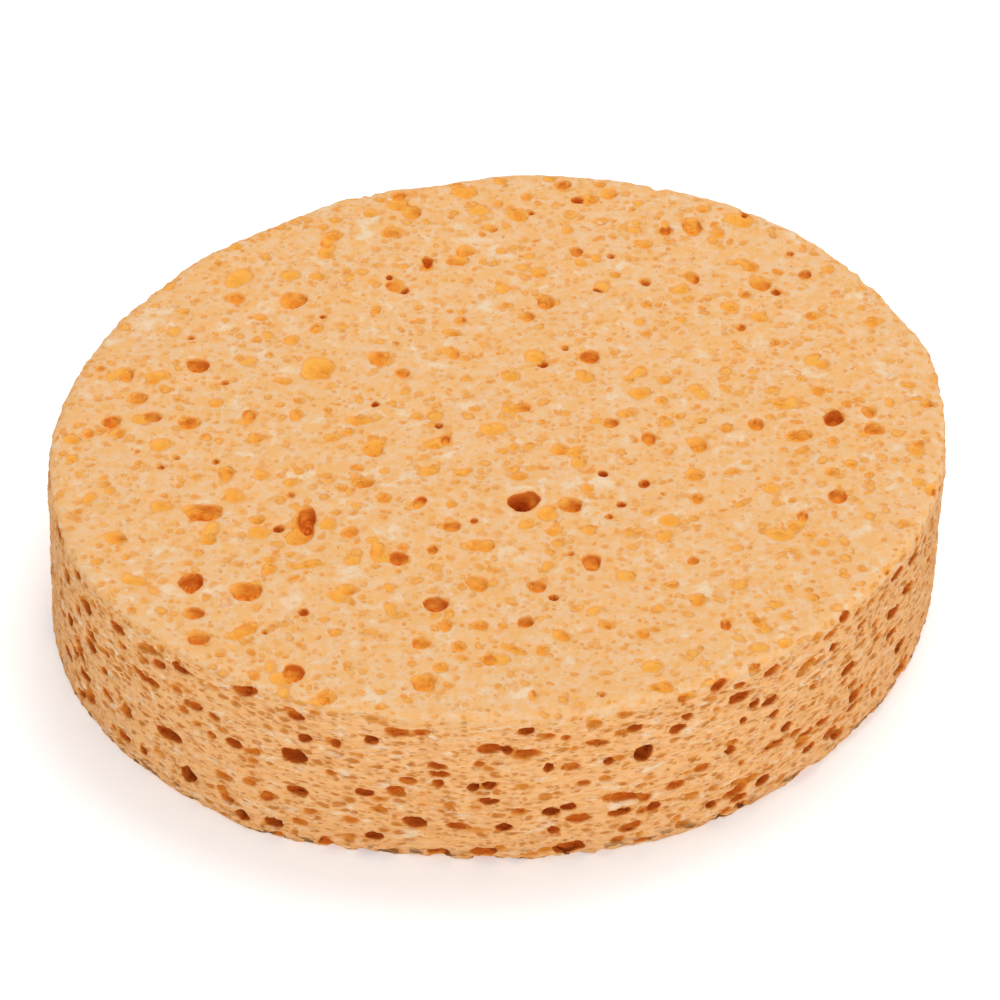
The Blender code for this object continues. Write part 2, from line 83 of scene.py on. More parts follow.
# The pits that stand out in the upper face: where they lie as shares of the mean radius, how wide
# their mouths are along X and along Y in millimetres, their kind and any turn in degrees.
FACE_PITS = (
    (-0.09, 0.92, 4.3, 3.7, "dish"),
    (-0.245, 0.905, 2.1, 2.5, "cup"),
    (-0.21, 0.835, 2.4, 3.1, "cup"),
    (-0.12, 0.823, 1.0, 1.0, "deep"),
    (-0.39, 0.81, 1.8, 1.8, "cup"),
    (-0.35, 0.79, 1.0, 1.0, "cup"),
    (-0.02, 0.77, 1.2, 1.2, "deep"),
    (-0.41, 0.718, 1.5, 2.1, "bowl"),
    (-0.45, 0.69, 1.2, 1.2, "cup"),
    (-0.55, 0.665, 1.5, 2.4, "cup"),
    (-0.61, 0.57, 6.1, 3.7, "dish", 50),
    (-0.665, 0.56, 1.2, 1.8, "cup"),
    (-0.43, 0.585, 2.4, 1.8, "cup"),
    (-0.26, 0.58, 1.2, 1.2, "deep"),
    (-0.25, 0.625, 1.0, 1.8, "cup"),
    (-0.175, 0.62, 1.8, 2.4, "cup"),
    (-0.48, 0.49, 4.0, 3.7, "cup"),
    (-0.73, 0.45, 1.8, 1.8, "cup"),
    (-0.685, 0.425, 1.2, 1.2, "cup"),
    (-0.58, 0.427, 0.9, 0.9, "deep"),
    (-0.41, 0.427, 1.1, 1.1, "deep"),
    (-0.445, 0.425, 1.8, 1.8, "dish"),
    (-0.29, 0.452, 1.5, 2.1, "bowl"),
    (-0.095, 0.415, 1.5, 1.8, "bowl"),
    (-0.71, 0.345, 1.1, 1.1, "deep"),
    (-0.535, 0.36, 1.8, 2.4, "cup"),
    (-0.75, 0.37, 2.1, 3.1, "dish"),
    (-0.24, 0.325, 0.9, 0.9, "deep"),
    (-0.28, 0.265, 3.1, 3.7, "cup"),
    (-0.225, 0.21, 2.1, 2.4, "cup"),
    (-0.11, 0.28, 1.8, 3.1, "cup"),
    (-0.42, 0.22, 4.9, 5.5, "dish"),
    (-0.69, 0.24, 3.1, 2.8, "bowl"),
    (-0.85, 0.2, 2.0, 3.4, "cup"),
    (-0.79, 0.185, 2.0, 3.0, "cup"),
    (-0.82, 0.115, 2.8, 2.8, "cup"),
    (-0.78, 0.05, 2.4, 2.1, "bowl"),
    (-0.625, 0.175, 1.1, 1.1, "deep"),
    (-0.5, 0.18, 1.5, 1.5, "cup"),
    (-0.91, 0.225, 1.5, 1.5, "cup"),
    (-0.565, 0.055, 1.8, 3.1, "bowl"),
    (-0.46, 0.05, 1.8, 2.4, "cup"),
    (-0.32, 0.11, 1.2, 1.8, "cup"),
    (-0.285, 0.095, 1.2, 1.2, "deep"),
    (-0.32, 0.035, 4.3, 2.1, "cup"),
    (-0.66, 0.04, 1.2, 1.2, "cup"),
    (-0.14, 0.015, 1.3, 1.3, "deep"),
    (-0.02, 0.0, 4.3, 2.8, "dish"),
    (-0.035, 0.005, 1.8, 1.6, "cup"),
    (0.145, 0.95, 2.4, 2.4, "cup"),
    (0.235, 0.955, 1.8, 1.6, "cup"),
    (0.18, 0.89, 1.8, 1.4, "deep"),
    (0.06, 0.9, 1.8, 1.8, "cup"),
    (0.015, 0.855, 1.1, 1.1, "cup"),
    (0.07, 0.84, 1.1, 1.1, "deep"),
    (0.255, 0.915, 2.4, 2.4, "cup"),
    (0.36, 0.91, 1.3, 1.3, "cup"),
    (0.375, 0.84, 1.5, 1.5, "cup"),
    (0.31, 0.86, 0.9, 0.9, "deep"),
    (0.165, 0.81, 1.1, 1.1, "cup"),
    (0.45, 0.78, 2.6, 4.6, "cup"),
    (0.385, 0.77, 1.8, 2.8, "bowl"),
    (0.315, 0.775, 2.4, 1.8, "cup"),
    (0.335, 0.715, 2.8, 2.2, "cup"),
    (0.51, 0.75, 1.8, 2.6, "cup"),
    (0.515, 0.7, 1.2, 1.2, "cup"),
    (0.565, 0.81, 3.7, 4.0, "dish"),
    (0.155, 0.77, 1.8, 2.4, "cup"),
    (0.175, 0.68, 1.8, 2.4, "bowl"),
    (0.255, 0.665, 1.2, 1.2, "deep"),
    (0.675, 0.675, 1.1, 1.1, "deep"),
    (0.705, 0.593, 1.8, 2.1, "bowl"),
    (0.76, 0.61, 1.8, 1.8, "cup"),
    (0.448, 0.573, 1.2, 2.1, "deep"),
    (0.235, 0.545, 2.4, 3.7, "dish"),
    (0.635, 0.52, 1.2, 1.8, "deep"),
    (0.56, 0.51, 1.8, 1.8, "cup"),
    (0.105, 0.49, 2.4, 3.1, "bowl"),
    (0.84, 0.495, 1.2, 1.2, "cup"),
    (0.335, 0.475, 1.8, 1.8, "cup"),
    (0.375, 0.46, 1.1, 1.1, "cup"),
    (0.46, 0.49, 0.9, 0.9, "deep"),
    (0.55, 0.385, 1.2, 1.8, "deep"),
    (0.625, 0.33, 1.5, 1.5, "bowl"),
    (0.54, 0.31, 1.5, 1.5, "cup"),
    (0.415, 0.42, 1.5, 1.5, "cup"),
    (0.87, 0.41, 1.2, 1.8, "cup"),
    (0.145, 0.305, 1.1, 1.1, "deep"),
    (0.2, 0.275, 3.1, 3.1, "cup"),
    (0.075, 0.27, 3.1, 3.1, "dish"),
    (0.02, 0.195, 3.1, 2.4, "dish"),
    (0.73, 0.245, 2.1, 2.4, "cup"),
    (0.57, 0.22, 2.1, 1.5, "cup"),
    (0.51, 0.15, 3.1, 1.3, "cup", -50),
    (0.37, 0.185, 1.8, 1.8, "cup"),
    (0.29, 0.19, 1.5, 1.5, "cup"),
    (0.31, 0.13, 2.8, 2.8, "dish"),
    (0.715, 0.145, 1.8, 2.1, "bowl"),
    (0.92, 0.17, 2.4, 1.8, "cup"),
    (0.935, 0.12, 2.4, 1.3, "cup"),
    (0.05, 0.08, 1.8, 2.1, "bowl"),
    (0.145, 0.065, 1.5, 1.5, "cup"),
    (0.245, 0.025, 2.1, 1.8, "bowl"),
    (0.645, 0.09, 3.7, 2.4, "dish"),
    (0.495, 0.075, 1.3, 1.3, "cup"),
    (0.745, 0.045, 2.8, 3.7, "bowl"),
    (0.825, 0.065, 1.8, 2.1, "bowl"),
    (0.875, 0.095, 1.5, 2.1, "cup"),
    (0.57, 0.02, 2.4, 3.1, "cup"),
    (-0.855, -0.015, 1.5, 2.1, "bowl"),
    (-0.81, -0.08, 0.9, 0.9, "deep"),
    (-0.76, -0.06, 3.1, 3.1, "dish"),
    (-0.955, -0.105, 1.9, 2.6, "cup"),
    (-0.755, -0.135, 1.1, 1.1, "deep"),
    (-0.635, -0.115, 1.1, 1.1, "deep"),
    (-0.61, -0.165, 2.1, 3.7, "cup"),
    (-0.55, -0.03, 2.1, 2.4, "cup"),
    (-0.285, -0.075, 2.8, 2.4, "cup"),
    (-0.125, -0.035, 1.1, 1.8, "deep"),
    (-0.38, -0.18, 1.8, 1.3, "cup"),
    (-0.09, -0.155, 2.1, 1.5, "cup"),
    (-0.465, -0.23, 1.2, 1.2, "deep"),
    (-0.43, -0.36, 3.0, 4.6, "cup"),
    (-0.425, -0.31, 2.1, 5.0, "deep"),
    (0.372, 0.955, 2.6, 2.2, "bowl"),
    (-0.445, -0.385, 3.6, 3.0, "cup"),
    (-0.655, -0.3, 5.5, 3.7, "cup"),
    (-0.53, -0.37, 3.4, 3.1, "dish"),
    (-0.64, -0.395, 2.4, 1.8, "cup"),
    (-0.93, -0.29, 1.1, 1.1, "deep"),
    (-0.835, -0.385, 1.5, 2.1, "bowl"),
    (-0.79, -0.43, 1.1, 1.1, "cup"),
    (-0.865, -0.21, 1.5, 1.5, "cup"),
    (-0.8, -0.53, 3.1, 1.8, "cup"),
    (-0.67, -0.535, 3.1, 3.7, "bowl"),
    (-0.55, -0.575, 4.3, 3.7, "cup"),
    (-0.42, -0.48, 3.7, 1.5, "cup", 20),
    (-0.26, -0.455, 3.1, 1.8, "cup"),
    (-0.26, -0.25, 2.1, 2.1, "cup"),
    (-0.185, -0.27, 3.7, 1.5, "cup", 55),
    (-0.11, -0.27, 1.5, 1.5, "cup"),
    (-0.11, -0.345, 2.8, 2.4, "cup"),
    (-0.06, -0.325, 1.1, 1.1, "deep"),
    (-0.035, -0.41, 3.1, 2.4, "cup"),
    (-0.15, -0.425, 1.5, 2.4, "bowl"),
    (-0.425, -0.638, 1.4, 1.4, "deep"),
    (-0.38, -0.665, 1.5, 1.3, "cup"),
    (-0.3, -0.59, 1.3, 1.3, "cup"),
    (-0.205, -0.61, 1.1, 1.1, "cup"),
    (-0.14, -0.61, 3.2, 2.9, "bowl"),
    (-0.12, -0.69, 1.8, 2.4, "cup"),
    (-0.235, -0.645, 1.5, 2.1, "cup"),
    (-0.555, -0.705, 5.5, 2.4, "cup", 40),
    (-0.05, -0.54, 3.1, 3.1, "cup"),
    (-0.24, -0.55, 1.8, 1.8, "cup"),
    (-0.44, -0.84, 2.8, 3.7, "bowl"),
    (-0.165, -0.875, 3.4, 3.7, "cup"),
    (-0.255, -0.9, 1.5, 1.5, "cup"),
    (-0.265, -0.8, 0.9, 0.9, "deep"),
    (-0.09, -0.79, 1.1, 1.1, "cup"),
    (0.33, -0.03, 1.8, 2.8, "bowl"),
    (0.44, -0.055, 2.4, 3.1, "cup"),
    (0.13, -0.075, 2.4, 2.4, "cup"),
    (0.66, -0.02, 4.0, 2.6, "cup"),
    (0.93, -0.045, 1.8, 1.5, "bowl"),
    (0.775, -0.125, 1.8, 1.8, "cup"),
    (0.18, -0.15, 1.5, 1.0, "cup"),
    (0.225, -0.158, 1.4, 1.4, "deep"),
    (0.315, -0.193, 1.4, 1.7, "deep"),
    (0.263, -0.265, 1.3, 1.3, "deep"),
    (0.19, -0.21, 1.8, 1.8, "cup"),
    (0.043, -0.265, 2.9, 3.5, "deep", 20),
    (0.064, -0.25, 2.7, 2.9, "bowl"),
    (0.055, -0.34, 2.4, 1.8, "cup"),
    (0.04, -0.17, 2.4, 1.8, "cup"),
    (0.235, -0.31, 1.1, 1.1, "deep"),
    (0.32, -0.295, 1.5, 1.5, "cup"),
    (0.43, -0.25, 1.8, 2.4, "cup"),
    (0.52, -0.27, 1.8, 1.3, "cup"),
    (0.64, -0.25, 1.1, 1.1, "deep"),
    (0.66, -0.31, 1.5, 3.7, "bowl"),
    (0.74, -0.24, 2.8, 3.4, "cup"),
    (0.73, -0.155, 1.8, 1.8, "cup"),
    (0.92, -0.19, 1.8, 1.8, "cup"),
    (0.15, -0.44, 1.1, 1.1, "deep"),
    (0.195, -0.47, 2.4, 3.4, "bowl"),
    (0.28, -0.5, 1.1, 1.1, "cup"),
    (0.1, -0.48, 1.8, 1.8, "cup"),
    (0.415, -0.46, 1.7, 1.7, "bowl"),
    (0.61, -0.37, 4.3, 3.1, "dish"),
    (0.7, -0.4, 1.8, 1.8, "cup"),
    (0.075, -0.55, 2.8, 2.8, "cup"),
    (0.42, -0.6, 2.4, 3.1, "cup"),
    (0.62, -0.56, 1.5, 1.5, "cup"),
    (0.59, -0.61, 2.4, 1.5, "cup"),
    (0.05, -0.67, 2.1, 2.1, "bowl"),
    (0.478, -0.68, 1.2, 2.1, "deep"),
    (0.565, -0.69, 6.1, 1.3, "cup", -48),
    (0.3, -0.71, 2.1, 2.4, "cup"),
    (0.03, -0.765, 4.9, 1.5, "cup", -35),
    (0.33, -0.885, 2.8, 1.5, "bowl", -25),
    (0.065, -0.92, 1.0, 3.1, "cup"),
)

# The pits that stand out in the edge: their direction in degrees, their height as a share of the
# thickness, their length along the edge and their height in millimetres, and their kind.
EDGE_PITS = (
    (203.0, 0.765, 3.2, 1.1, "cup"),
    (204.3, 0.51, 2.1, 1.8, "deep"),
    (206.0, 0.345, 2.8, 1.1, "cup"),
    (209.0, 0.28, 3.2, 1.4, "deep"),
    (209.8, 0.78, 2.8, 1.9, "deep"),
    (211.0, 0.54, 2.6, 1.2, "deep"),
    (212.0, 0.7, 1.7, 0.9, "cup"),
    (217.0, 0.85, 3.6, 1.1, "deep"),
    (218.0, 0.62, 2.1, 0.9, "cup"),
    (219.0, 0.36, 1.5, 1.1, "deep"),
    (219.2, 0.43, 1.3, 0.8, "cup"),
    (222.3, 0.16, 1.4, 1.4, "deep"),
    (225.2, 0.94, 1.7, 0.9, "cup"),
    (225.0, 0.22, 2.8, 0.8, "cup"),
    (226.5, 0.39, 4.7, 1.7, "deep"),
    (228.5, 0.885, 3.2, 1.1, "deep"),
    (229.0, 0.62, 2.1, 1.0, "cup"),
    (229.9, 0.2, 2.7, 2.5, "deep"),
    (233.5, 0.55, 2.1, 1.1, "cup"),
    (233.5, 0.87, 3.2, 0.7, "cup"),
    (235.5, 0.22, 2.4, 0.9, "cup"),
    (236.8, 0.56, 2.6, 1.3, "deep"),
    (238.2, 0.11, 1.6, 1.8, "deep"),
    (239.0, 0.34, 2.4, 1.0, "cup"),
    (241.5, 0.29, 1.6, 1.4, "cup"),
    (242.5, 0.12, 3.0, 1.3, "deep"),
    (242.8, 0.04, 1.5, 1.0, "deep"),
    (244.8, 0.6, 3.6, 2.1, "deep"),
    (246.0, 0.74, 2.1, 1.3, "deep"),
    (247.0, 0.25, 2.8, 1.0, "cup"),
    (249.0, 0.05, 2.2, 1.3, "deep"),
    (250.0, 0.74, 1.3, 1.1, "deep"),
    (252.0, 0.235, 2.7, 1.1, "cup"),
    (253.6, 0.44, 3.2, 1.0, "deep"),
    (254.3, 0.81, 2.0, 1.4, "deep"),
    (254.8, 0.14, 2.8, 1.1, "deep"),
    (257.2, 0.48, 2.3, 1.1, "deep"),
    (257.3, 0.285, 1.0, 0.9, "cup"),
    (257.5, 0.875, 1.0, 1.3, "cup"),
    (259.8, 0.26, 3.0, 1.6, "deep"),
    (262.5, 0.55, 1.6, 1.4, "cup"),
    (266.9, 0.54, 1.6, 1.3, "deep"),
    (268.8, 0.55, 1.6, 1.2, "deep"),
    (268.6, 0.44, 1.7, 1.1, "deep"),
    (268.0, 0.24, 4.2, 0.8, "cup"),
    (270.9, 0.785, 1.5, 1.3, "deep"),
    (270.8, 0.26, 2.6, 1.2, "deep"),
    (270.5, 0.12, 1.6, 0.9, "cup"),
    (272.5, 0.37, 2.1, 1.1, "cup"),
    (273.0, 0.54, 2.1, 1.0, "dish"),
    (273.0, 0.91, 2.2, 1.2, "deep"),
    (276.0, 0.65, 1.4, 1.4, "deep"),
    (277.0, 0.21, 1.7, 1.0, "deep"),
    (276.6, 0.34, 2.6, 1.3, "deep"),
    (278.8, 0.365, 2.4, 1.1, "deep"),
    (278.0, 0.845, 1.4, 1.0, "cup"),
    (278.5, 0.63, 1.5, 0.9, "dish"),
    (279.0, 0.08, 4.3, 1.5, "deep"),
    (281.5, 0.905, 2.6, 1.4, "dish"),
    (283.5, 0.64, 1.3, 1.1, "deep"),
    (285.2, 0.285, 3.2, 1.1, "deep"),
    (285.3, 0.1, 1.9, 0.9, "cup"),
    (286.8, 0.83, 2.1, 1.2, "deep"),
    (288.0, 0.65, 2.5, 2.4, "deep"),
    (288.5, 0.345, 2.1, 1.2, "cup"),
    (289.0, 0.475, 2.1, 0.9, "dish"),
    (289.8, 0.265, 1.7, 1.3, "deep"),
    (292.5, 0.765, 2.4, 1.1, "deep"),
    (293.0, 0.94, 1.3, 1.1, "cup"),
    (293.8, 0.82, 1.7, 0.9, "deep"),
    (293.0, 0.145, 1.7, 0.9, "cup"),
    (294.2, 0.435, 1.3, 0.8, "cup"),
    (295.0, 0.27, 2.3, 0.9, "cup"),
    (297.3, 0.88, 1.9, 1.3, "dish"),
    (297.8, 0.155, 1.7, 1.1, "deep"),
    (300.2, 0.48, 1.7, 1.1, "deep"),
    (302.0, 0.82, 1.6, 0.9, "cup"),
    (302.0, 0.65, 1.3, 1.0, "deep"),
    (302.0, 0.365, 1.3, 0.9, "cup"),
    (302.2, 0.07, 2.3, 0.9, "deep"),
    (303.6, 0.735, 1.6, 1.1, "deep"),
    (306.2, 0.7, 2.5, 1.2, "deep"),
    (307.0, 0.6, 1.7, 1.1, "deep"),
    (306.8, 0.51, 1.5, 0.9, "cup"),
    (308.0, 0.81, 2.3, 0.9, "cup"),
    (309.3, 0.455, 2.4, 1.2, "deep"),
    (306.5, 0.395, 3.2, 0.7, "cup"),
    (305.8, 0.16, 2.6, 1.4, "deep"),
    (312.5, 0.31, 3.4, 1.1, "deep"),
    (314.0, 0.19, 2.4, 1.1, "deep"),
    (314.0, 0.95, 2.3, 0.9, "cup"),
    (317.0, 0.91, 1.7, 1.0, "cup"),
    (317.3, 0.805, 1.7, 1.2, "deep"),
    (319.2, 0.955, 2.1, 1.1, "deep"),
    (319.8, 0.13, 3.2, 1.6, "cup"),
    (320.8, 0.655, 1.3, 1.0, "cup"),
    (322.2, 0.915, 1.9, 1.0, "cup"),
    (322.8, 0.305, 2.6, 1.2, "deep"),
    (323.5, 0.735, 1.7, 1.0, "cup"),
    (328.0, 0.19, 2.1, 1.0, "cup"),
    (328.0, 0.57, 2.7, 1.0, "cup"),
    (332.0, 0.9, 3.2, 1.2, "deep"),
    (332.0, 0.63, 3.2, 1.4, "deep"),
    (335.0, 0.31, 3.2, 1.8, "deep"),
    (336.0, 0.685, 3.2, 1.4, "cup"),
    (337.0, 0.87, 4.3, 1.6, "cup"),
    (337.0, 0.1, 3.2, 1.4, "cup"),
)

# Bites torn out of the lower rim, as the edge pits are given, with their reach under the disc
RIM_BITES = (
    (231.0, 2.4, 1.6, 1.6),
    (241.5, 2.0, 1.4, 1.2),
    (250.0, 3.0, 1.9, 1.6),
    (256.0, 3.4, 1.4, 1.2),
    (263.0, 4.2, 1.7, 1.4),
    (270.5, 3.6, 1.4, 1.2),
    (279.5, 3.8, 2.0, 1.5),
    (286.5, 2.2, 1.5, 1.3),
    (298.8, 2.8, 1.7, 2.0),
    (305.0, 2.0, 1.3, 1.2),
    (313.8, 4.6, 2.8, 2.2),
    (324.0, 3.0, 1.5, 1.4),
    (222.0, 2.6, 1.5, 1.3),
    (212.0, 2.2, 1.6, 1.2),
    (97.0, 3.0, 1.6, 1.5),
    (40.0, 4.0, 2.2, 1.8),
    (0.0, 2.6, 1.5, 1.6),
    (150.0, 3.4, 1.8, 1.5),
)

# The surface: waves of the skin, the finer relief of the cut foam, and the mesh that holds them
WAVE_SIZE = 9.0 * MM
WAVE_HEIGHT = 0.35 * MM
RELIEF_INPUTS = (
    ("Coarse Size", 2.2 * MM),
    ("Coarse Height", 0.30 * MM),
    ("Fine Size", 0.8 * MM),
    ("Fine Height", 0.22 * MM),
    ("Edge Extra", 0.9),
    ("Layering", 2.6),
)
RELIEF_DETAIL = 1.0
MESH_GRID = 0.34 * MM
SOFTENING = 2
TRIANGLE_LIMIT = 196000

# Inputs of the tree that opens the cells; a whole number is an integer input
CELL_INPUTS = (
    ("Face Spacing", 1.45 * MM),
    ("Edge Spacing", 1.15 * MM),
    ("Face Density", 80000.0),
    ("Edge Density", 240000.0),
    ("Face Narrowest", 1.0 * MM),
    ("Face Widest", 3.3 * MM),
    ("Edge Narrowest", 1.3 * MM),
    ("Edge Widest", 3.6 * MM),
    ("Bias", 2.8),
    ("Deep Share", 0.08),
    ("Lumpiness", 0.7),
    ("Fine From", 1.3 * MM),
    ("Seed", 7),
)

# How the strewn cells differ between the flat faces and the edge: the limits of a mouth's height as
# a share of its width, of how far its middle is sunk, and of its depth as a share of the height, its
# turn either way in degrees, and what is added to the seed
STREWN = {
    "Face": {"flatness": (0.6, 1.0), "sunk": (-0.6, -0.25), "depth": (0.2, 0.5), "turn": 180.0, "seed": 0},
    "Edge": {"flatness": (0.26, 0.42), "sunk": (-0.3, 0.3), "depth": (0.8, 1.7), "turn": 7.0, "seed": 10},
}

# The seed of each random draw; how level the skin of a face is; and how a deep hole differs from
# other cells, by the share that is added to its width and what is added to its share of depth
DRAW_SEEDS = {"width": 1, "flatness": 2, "sunk": 3, "turn": 4, "depth": 5, "deep": 6, "variant": 21}
FLAT_FROM = 0.75
DEEP_WIDER_BY = -0.4
DEEPER_BY = 0.8

# The lumpy balls that stand for cells: how many there are of each fineness, their subdivisions,
# the noise that makes them lumpy, and what keeps a draw below their number
CELL_VARIANTS = 5
COARSE_BALL = 2
FINE_BALL = 3
LUMP_SCALE = 1.1
LUMP_MIDDLE = 0.45
VARIANT_STEP = 3.7
JUST_UNDER = 0.001

# Foam colours, linear: the skin, its pale strands and golden hollows, painted shade and shadow, and pits
# by depth in mm, darker with depth as painted shade
SKIN_PALE = (0.88, 0.56, 0.31, 1.0)
SKIN = (0.90, 0.49, 0.19, 1.0)
GOLDEN = (0.95, 0.42, 0.055, 1.0)
ORANGE = (0.88, 0.28, 0.03, 1.0)
# Painted shade: a darker brown round the rims of hollows and of pit mouths
RIM_SHADE = (0.80, 0.24, 0.025, 1.0)
STRAND = (0.90, 0.69, 0.46, 1.0)
CUT_SKIN = (0.90, 0.47, 0.18, 1.0)
CUT_BROWN = (0.66, 0.24, 0.05, 1.0)
# Painted shade inside the lens-shaped pores of the edge
LENS_SHADE = (0.58, 0.17, 0.014, 1.0)
# Painted shade in the pits of the edge
EDGE_PIT_SHADE = (0.42, 0.08, 0.006, 1.0)
# Painted shadow: near-black patches under the lower rim
LOWER_RIM_SHADOW = (0.10, 0.033, 0.012, 1.0)
# Painted shade on the steep walls of pits
PIT_WALL_SHADE = (0.70, 0.16, 0.014, 1.0)
# The pits' own golden orange, darkening with depth as painted shade
PIT_COLOURS_AND_SHADE = (
    (0.0, (0.96, 0.49, 0.11, 1.0)),
    (0.5, (0.97, 0.46, 0.08, 1.0)),
    (1.0, (0.95, 0.39, 0.05, 1.0)),
    (1.8, (0.86, 0.22, 0.016, 1.0)),
    (3.2, (0.34, 0.035, 0.005, 1.0)),
)
DEEPEST = 3.2
ROUGHNESS = 0.92
SHINE = 0.15

# Fine pores: their three sizes, their least radius and how much wider chance makes them, how soft
# and how crooked they are, as shares of their size, and how flat they and the foam's layers lie
PORE_SIZES = (2.1 * MM, 1.1 * MM, 0.55 * MM)
PORE_RADIUS = 0.12
PORE_WIDENING = 0.45
PORE_SOFTNESS = 0.3
PORE_WANDER = 0.6
PORE_FLATNESS = 2.4
LAYER_FLATNESS = 3.6

# Patterns of the foam: grain size, detail, roughness, distortion, and which noise counts as none
# and as all of it
PATTERNS = {
    "pale_patches": (1.8 * MM, 4.0, 0.65, 0.4, 0.40, 0.62),
    "golden_places": (4.0 * MM, 1.0, 0.5, 0.0, 0.36, 0.56),
    "blush": (1.1 * MM, 3.0, 0.6, 0.6, 0.5, 0.7),
    "ripeness": (1.6 * MM, 3.0, 0.6, 0.0, 0.48, 0.66),
    "streaks": (1.8 * MM, 3.0, 0.6, 0.5, 0.42, 0.66),
    "strands": (3.6 * MM, 4.0, 0.6, 0.4, 0.56, 0.72),
    # patches of painted shadow under the lower rim
    "lower_rim_shadows": (2.6 * MM, 3.0, 0.6, 0.0, 0.53, 0.59),
    "uneven_depth": (1.0 * MM, 3.0, 0.6, 0.0, 0.3, 0.7),
}

# How much each layer of colour covers of what lies under it
COVER = {
    "coarse_gold": 0.75,
    "middle_gold": 0.55,
    "fine_gold": 0.3,
    "blush": 0.35,
    "middle_ripeness": 0.8,
    # painted shade round the rims of hollows
    "middle_rim_shade": 0.5,
    "rim_shade": 0.3,
    "cut": 0.5,
    # painted shade in the lens-shaped pores of the edge
    "lenses": 0.8,
    "small_lenses": 0.5,
    "strands": 0.8,
    # painted shade on steep pit walls
    "pit_wall_shade": 0.9,
    # painted shade in the pits of the edge
    "edge_pit_shade": 0.5,
    # painted shade round the mouths of pits
    "pit_rim_shade": 0.35,
    # painted shadow under the lower rim
    "lower_rim_shadows": 0.9,
}

# Where the layers begin and are full: the edge by its share of flatness and by its depth below the
# ragged rim, pits by their depth in millimetres, painted shade on pit walls by their steepness and painted
# shadow under the lower rim by its height
EDGE_FLATNESS = (0.8, 0.2)
EDGE_BELOW_RIM = (1.4 * MM, 4.0 * MM)
RAGGED_SIZE = 3.0 * MM
RAGGED_HEIGHT = 3.0 * MM
RAGGED_DETAIL = 1.0
PIT_DEPTHS = (0.06, 0.35)
WALL_STEEPNESS = (0.18, 0.62)
# Heights where the painted shadow under the lower rim begins and is full
LOWER_RIM_SHADOW_HEIGHTS = (3.0 * MM, 0.9 * MM)
UNEVEN_DEPTH = (0.65, 1.35)
# How much deeper the pits of the edge seem to the depth ramp, for more painted shade
EDGE_SHADE_DEEPENING = 0.9

# The bump: its height in all, and the share of each layer in it
BUMP_HEIGHT = 0.16 * MM
COARSE_BUMP = -1.0
MIDDLE_BUMP = -0.6
GRAIN_BUMP = 0.45
RIDGE_BUMP = 1.6
GRAIN_SIZE = 0.4 * MM
RIDGE_SIZE = 2.0 * MM
BUMP_DETAIL = 2.0
BUMP_ROUGHNESS = 0.6

# The floor, its half width and its distance below the sponge
FLOOR_REACH = 3.0
FLOOR_GAP = 0.05 * MM
FLOOR_COLOUR = (0.9, 0.9, 0.9, 1.0)
FLOOR_ROUGHNESS = 0.9
FLOOR_GLOW = 0.35
WHITE = (1.0, 1.0, 1.0, 1.0)

# Studio: the world's light, and the lamps' names, places, sizes in metres and power in watts
WORLD_LIGHT = 0.42
LAMPS = (
    ("key", (0.25, 0.55, 1.25), 0.75, 9.7),
    ("front", (0.15, -1.35, 0.35), 0.8, 8.2),
    ("left", (-1.3, -0.2, 0.3), 0.6, 2.4),
    ("right", (1.3, -0.4, 0.3), 0.6, 2.0),
)

# The photograph's viewpoint; the distance is a share of the mean radius
CAMERA_ELEVATION = math.radians(38.4)
CAMERA_DISTANCE = 12.0
CAMERA_LENS = 191.1
FRAME_SHIFT = (0.0011, 0.001)


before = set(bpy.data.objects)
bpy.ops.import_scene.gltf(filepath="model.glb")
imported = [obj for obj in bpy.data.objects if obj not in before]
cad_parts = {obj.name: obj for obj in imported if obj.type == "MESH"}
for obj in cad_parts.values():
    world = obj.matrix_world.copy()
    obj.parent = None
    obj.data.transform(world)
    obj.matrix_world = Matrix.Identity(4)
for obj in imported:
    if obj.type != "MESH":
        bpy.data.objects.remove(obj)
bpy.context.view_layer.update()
LOW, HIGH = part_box("sponge")
THICKNESS = HIGH[2] - LOW[2]
RADIUS = (HIGH[0] - LOW[0] + HIGH[1] - LOW[1] - LEAN) / 4 / SPREAD


def swell_at(direction, share):
    """How far the outline is out of true at a share of the thickness."""
    total = 0.0
    for degrees, width, upper, lower in SWELLS:
        away = math.remainder(direction - math.radians(degrees), 2 * math.pi)
        fading = math.exp(-(away / math.radians(width)) ** 2)
        total += fading * (lower + (upper - lower) * share)
    return total * MM


def outline_radius(direction, height):
    """Distance from the middle to the edge: an oval with three faint lobes, out of true by hand."""
    oval = 1 + OVAL * math.cos(2 * (direction - OVAL_DIRECTION))
    lobed = oval + LOBES * math.cos(3 * (direction - LOBE_DIRECTION))
    return RADIUS * lobed + swell_at(direction, height / THICKNESS)


def lean_at(height):
    """How far the edge leans towards +X at a height above the underside."""
    return LEAN * (height / THICKNESS - 0.5)


def face_spot(x, y, height):
    """A point of a flat face, moved as the disc leans."""
    return Vector((x + lean_at(height), y, height))


def edge_spot(direction, height):
    """A point of the edge."""
    radius = outline_radius(direction, height)
    return Vector((
        radius * math.cos(direction) + lean_at(height),
        radius * math.sin(direction),
        height,
    ))


def edge_turn(direction):
    """Turns a cell's +Z outwards from the edge and its +X along the edge."""
    return Matrix.Rotation(direction + math.pi / 2, 4, "Z") @ Matrix.Rotation(math.pi / 2, 4, "X")


def make_node(tree, kind, inputs=None, **settings):
    """Adds a node, sets its properties, and fills or links its inputs by name or number."""
    made = tree.nodes.new(kind)
    for name, value in settings.items():
        setattr(made, name, value)
    for key, value in (inputs or {}).items():
        if isinstance(value, bpy.types.NodeSocket):
            tree.links.new(value, made.inputs[key])
        else:
            made.inputs[key].default_value = value
    return made


